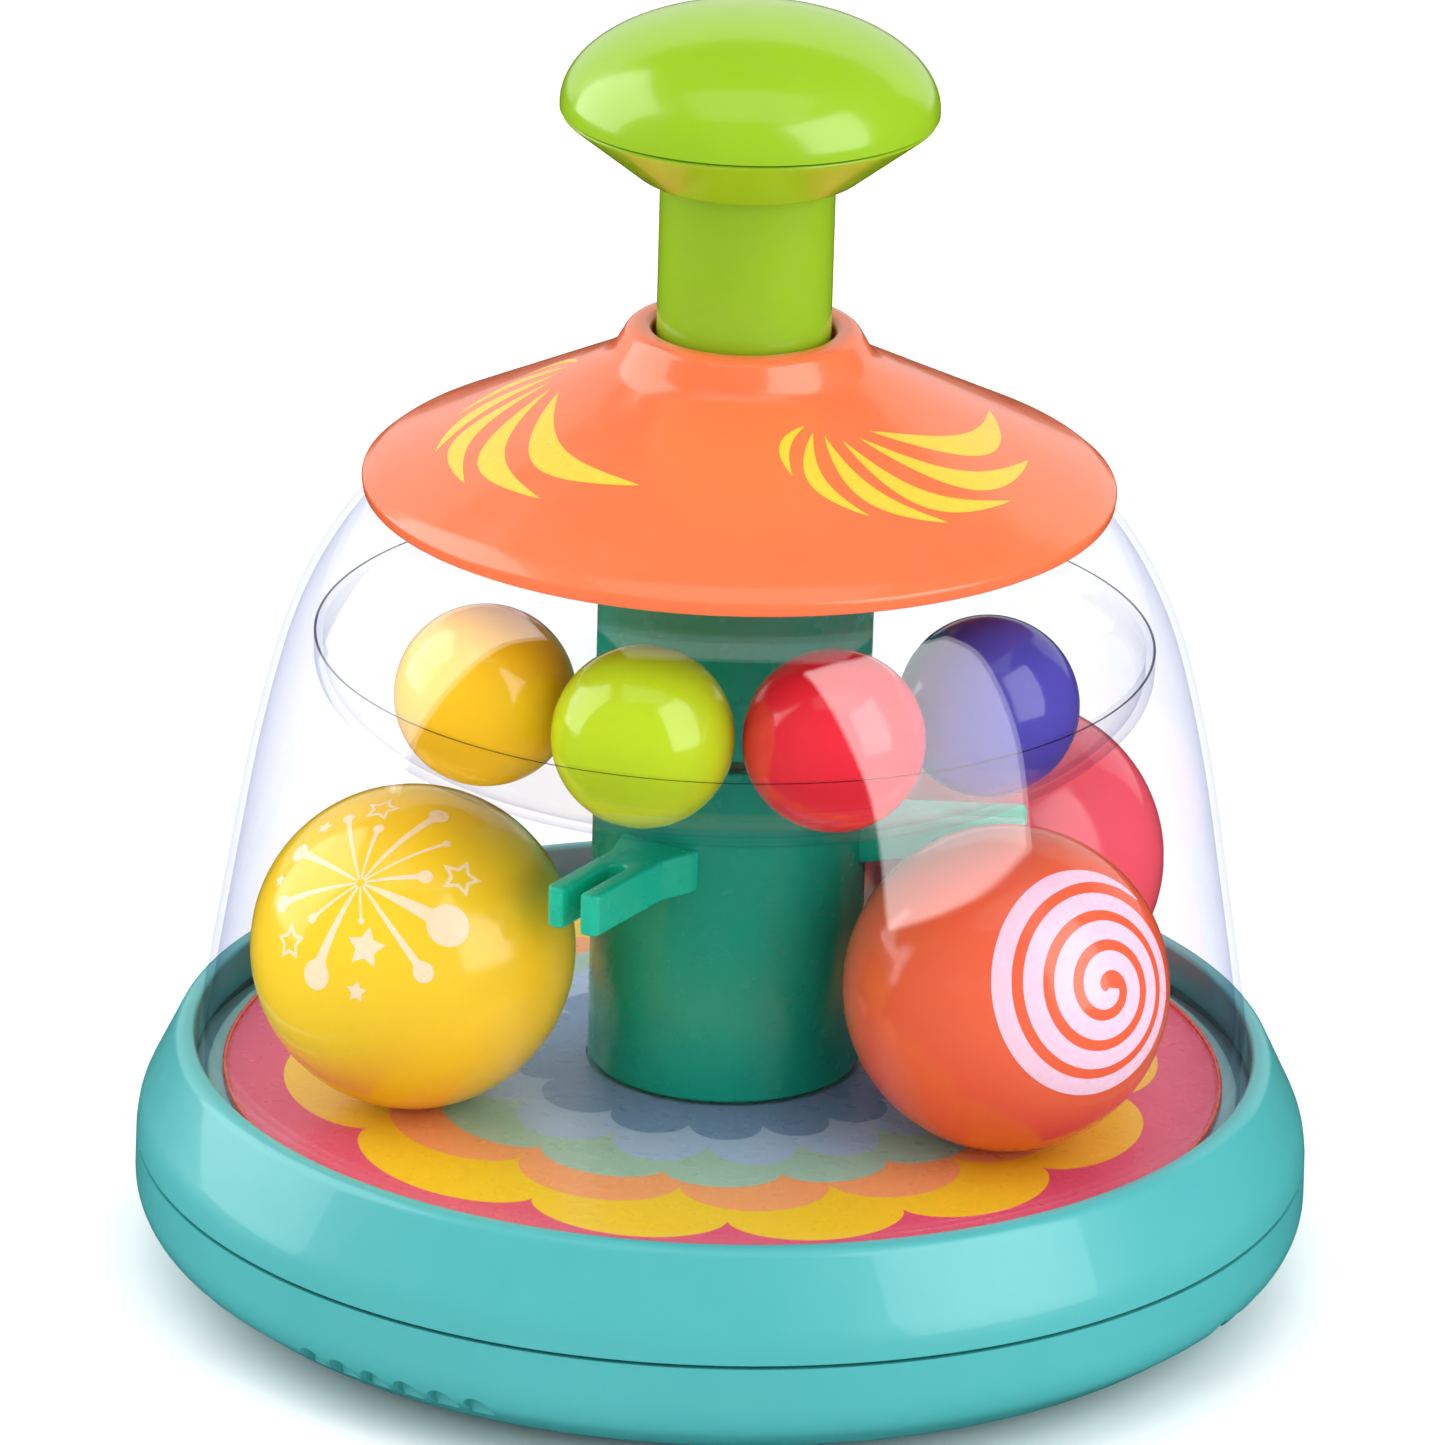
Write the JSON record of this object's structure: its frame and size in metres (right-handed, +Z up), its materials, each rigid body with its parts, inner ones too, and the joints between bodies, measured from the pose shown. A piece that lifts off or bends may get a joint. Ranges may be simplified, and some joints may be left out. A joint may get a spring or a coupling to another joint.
{
  "type": "push-and-spin ball top",
  "caption": "Push-and-spin toy: pressing the sprung knob turns a twisted rod that spins a clear bowl, arms and loose balls inside a clear dome on a round base.",
  "frame": {"origin": "on the turning axis, level with the undersides of the feet", "axes": "+Z up along the turning axis towards the knob; -Y is the side that faces the viewer; +X to the viewer's right"},
  "size_m": [0.225, 0.225, 0.249],
  "materials": {
    "turquoise_plastic": "glossy moulded turquoise",
    "coral_plastic": "glossy moulded coral orange with printed yellow swooshes",
    "lime_plastic": "glossy moulded lime green",
    "teal_plastic": "satin moulded teal green",
    "clear_plastic": "clear polished polystyrene",
    "printed_sheet": "printed flower pattern in bands of colour",
    "white_nylon": "natural moulded nylon",
    "steel": "zinc plated steel",
    "spring_steel": "drawn spring wire",
    "foot_rubber": "matt black rubber",
    "yellow_ball": "glossy yellow with a pale printed burst",
    "orange_ball": "glossy orange with a pale printed spiral",
    "pink_ball": "glossy strawberry pink",
    "amber_ball": "glossy amber",
    "lime_ball": "glossy yellow green",
    "red_ball": "glossy red",
    "violet_ball": "glossy violet"
  },
  "bodies": {
    "housing": {"base_pan": "turquoise_plastic", "base_ring": "turquoise_plastic", "base_screw_1": "steel", "base_screw_2": "steel", "base_screw_3": "steel", "foot_1": "foot_rubber", "foot_2": "foot_rubber", "foot_3": "foot_rubber", "foot_4": "foot_rubber", "track_plate": "turquoise_plastic", "printed_disc": "printed_sheet", "pivot_pin": "steel", "thrust_washer": "white_nylon", "dome": "clear_plastic", "hat": "coral_plastic", "hat_screw_1": "steel", "hat_screw_2": "steel", "hat_screw_3": "steel", "guide_sleeve": "white_nylon", "top_bearing_ring": "white_nylon", "return_spring": "spring_steel"},
    "plunger": {"knob_cap": "lime_plastic", "knob_cup": "lime_plastic", "knob_screw": "steel", "plunger_tube": "lime_plastic", "drive_nut": "white_nylon"},
    "drive_rod": {"drive_rod": "steel", "ratchet_hub": "white_nylon"},
    "rotor": {"column_lower": "teal_plastic", "column_upper": "teal_plastic", "bearing_bush": "white_nylon", "ratchet_ring": "white_nylon", "arm_1": "teal_plastic", "arm_2": "teal_plastic", "arm_3": "teal_plastic", "bowl": "clear_plastic"},
    "big_ball_1": {"big_ball_1": "yellow_ball"},
    "big_ball_2": {"big_ball_2": "orange_ball"},
    "big_ball_3": {"big_ball_3": "pink_ball"},
    "small_balls": {"small_ball_1": "amber_ball", "small_ball_2": "lime_ball", "small_ball_3": "red_ball", "small_ball_4": "violet_ball"}
  },
  "joints": [
    {"name": "knob_press", "type": "slide", "parent": "housing", "child": "plunger", "axis": [0, 0, -1], "range_m": [0, 0.026], "stiffness_N_per_m": 400, "springref_m": -0.012, "deforming": ["return_spring"]},
    {"name": "rod_spin", "type": "hinge", "parent": "housing", "child": "drive_rod", "pos_m": [0, 0, 0.062], "axis": [0, 0, 1], "range_deg": [0, 360]},
    {"name": "rotor_spin", "type": "hinge", "parent": "drive_rod", "child": "rotor", "pos_m": [0, 0, 0.0411], "axis": [0, 0, 1], "continuous": true},
    {"name": "big_ball_1_roll", "type": "hinge", "parent": "rotor", "child": "big_ball_1", "pos_m": [-0.0591, -0.02268, 0.07004], "axis": [-0.9336, -0.3584, 0], "continuous": true},
    {"name": "big_ball_2_roll", "type": "hinge", "parent": "rotor", "child": "big_ball_2", "pos_m": [0.05278, -0.03494, 0.07004], "axis": [0.8339, -0.5519, 0], "continuous": true},
    {"name": "big_ball_3_roll", "type": "hinge", "parent": "rotor", "child": "big_ball_3", "pos_m": [0.05368, 0.03354, 0.07004], "axis": [0.848, 0.5299, 0], "continuous": true},
    {"name": "small_ball_run", "type": "hinge", "parent": "rotor", "child": "small_balls", "pos_m": [0, 0, 0.1266], "axis": [0, 0, 1], "continuous": true}
  ],
  "couplings": [
    {"joint": "rod_spin", "follows": "knob_press", "rad_per_m": 241.66},
    {"joint": "big_ball_1_roll", "follows": "rotor_spin", "ratio": -2.0552},
    {"joint": "big_ball_2_roll", "follows": "rotor_spin", "ratio": -2.0552},
    {"joint": "big_ball_3_roll", "follows": "rotor_spin", "ratio": -2.0552}
  ]
}
